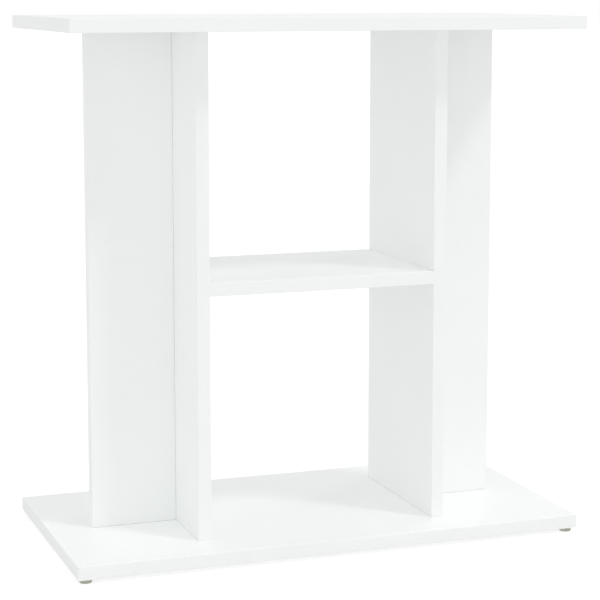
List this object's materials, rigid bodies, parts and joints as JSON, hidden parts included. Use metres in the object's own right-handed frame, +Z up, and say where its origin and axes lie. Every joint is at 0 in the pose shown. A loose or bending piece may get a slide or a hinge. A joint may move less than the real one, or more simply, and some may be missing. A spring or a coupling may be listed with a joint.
{
  "type": "aquarium stand",
  "caption": "Open aquarium stand in white board: a top and a base panel joined by T-shaped legs with a shelf between them, on small round glides.",
  "frame": {"origin": "on the floor, below the middle of the base panel", "axes": "+X to the right, +Y to the back, +Z up; the front is the long side that the picture shows, at -Y"},
  "size_m": [0.6, 0.3, 0.605],
  "materials": {
    "board": "white melamine-faced chipboard, satin",
    "edge_band": "white plastic edging, satin",
    "glide": "olive grey moulded nylon, matte",
    "nail": "plain steel wire, satin",
    "dowel": "bare beech, matte",
    "cam_bolt": "zinc-plated steel, satin",
    "cam_nut": "die-cast zinc, satin",
    "screw": "zinc-plated steel, satin"
  },
  "bodies": {
    "root": {"top_panel": "board", "base_panel": "board", "left_side_panel": "board", "right_side_panel": "board", "left_wing_panel": "board", "right_wing_panel": "board", "shelf": "board", "top_edge_band_front": "edge_band", "top_edge_band_back": "edge_band", "top_edge_band_left": "edge_band", "top_edge_band_right": "edge_band", "base_edge_band_front": "edge_band", "base_edge_band_back": "edge_band", "base_edge_band_left": "edge_band", "base_edge_band_right": "edge_band", "left_side_edge_band_front": "edge_band", "left_side_edge_band_back": "edge_band", "right_side_edge_band_front": "edge_band", "right_side_edge_band_back": "edge_band", "left_wing_edge_band": "edge_band", "right_wing_edge_band": "edge_band", "shelf_edge_band_front": "edge_band", "shelf_edge_band_back": "edge_band", "glide_front_left": "glide", "glide_front_right": "glide", "glide_back_left": "glide", "glide_back_right": "glide", "glide_nails": "nail", "top_dowels": "dowel", "base_dowels": "dowel", "wing_dowels": "dowel", "shelf_dowels": "dowel", "top_cam_bolts": "cam_bolt", "wing_cam_bolts": "cam_bolt", "shelf_cam_bolts": "cam_bolt", "top_cam_nuts": "cam_nut", "wing_cam_nuts": "cam_nut", "shelf_cam_nuts": "cam_nut", "base_screws": "screw"}
  },
  "joints": []
}
